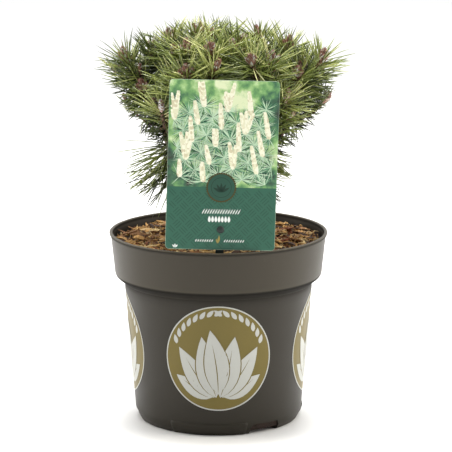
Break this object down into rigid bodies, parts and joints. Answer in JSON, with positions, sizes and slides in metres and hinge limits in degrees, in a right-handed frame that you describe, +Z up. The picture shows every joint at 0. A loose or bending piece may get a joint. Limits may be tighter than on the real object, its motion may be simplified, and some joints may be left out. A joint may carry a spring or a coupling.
{
  "type": "dwarf mountain pine in a nursery pot",
  "caption": "Young bushy mountain pine with upturned boughs and tufts of needles, in a round tapered nursery pot, with a picture label on a peg.",
  "frame": {"origin": "centre of the pot's flat underside, on the surface it stands on", "axes": "+Z up along the pot's axis; the picture label faces -Y; +X to the right as seen from the label's side"},
  "size_m": [0.2142, 0.1947, 0.3529],
  "materials": {
    "pot_plastic": "matt warm dark grey moulded plastic, slightly scuffed",
    "soil": "loose bark chips, coir and dark peat",
    "label_print": "thin printed plastic card, semi-gloss",
    "peg_plastic": "dark grey moulded plastic",
    "bark": "rough reddish brown bark with old needle scars",
    "needles": "stiff waxy mid-green needles with pinkish brown buds"
  },
  "bodies": {
    "root": {"pot": "pot_plastic", "soil": "soil", "label_card": "label_print", "label_peg": "peg_plastic", "trunk": "bark", "bough_right": "bark", "bough_left": "bark", "bough_back_left": "bark", "bough_back_right": "bark", "bough_back": "bark", "bough_front_right": "bark", "bough_front_left": "bark", "bough_left_lower": "bark", "bough_right_lower": "bark", "bough_left_top": "bark", "bough_right_top": "bark", "bough_front_top_left": "bark", "bough_front_top_right": "bark", "bough_back_top": "bark", "bough_low_left": "bark", "bough_low_right": "bark", "bough_low_back": "bark", "needles_right": "needles", "needles_left": "needles", "needles_back_left": "needles", "needles_back_right": "needles", "needles_back": "needles", "needles_front_right": "needles", "needles_front_left": "needles", "needles_left_lower": "needles", "needles_right_lower": "needles", "needles_left_top": "needles", "needles_right_top": "needles", "needles_front_top_left": "needles", "needles_front_top_right": "needles", "needles_back_top": "needles", "needles_low_left": "needles", "needles_low_right": "needles", "needles_low_back": "needles", "needles_leader": "needles"}
  },
  "joints": []
}
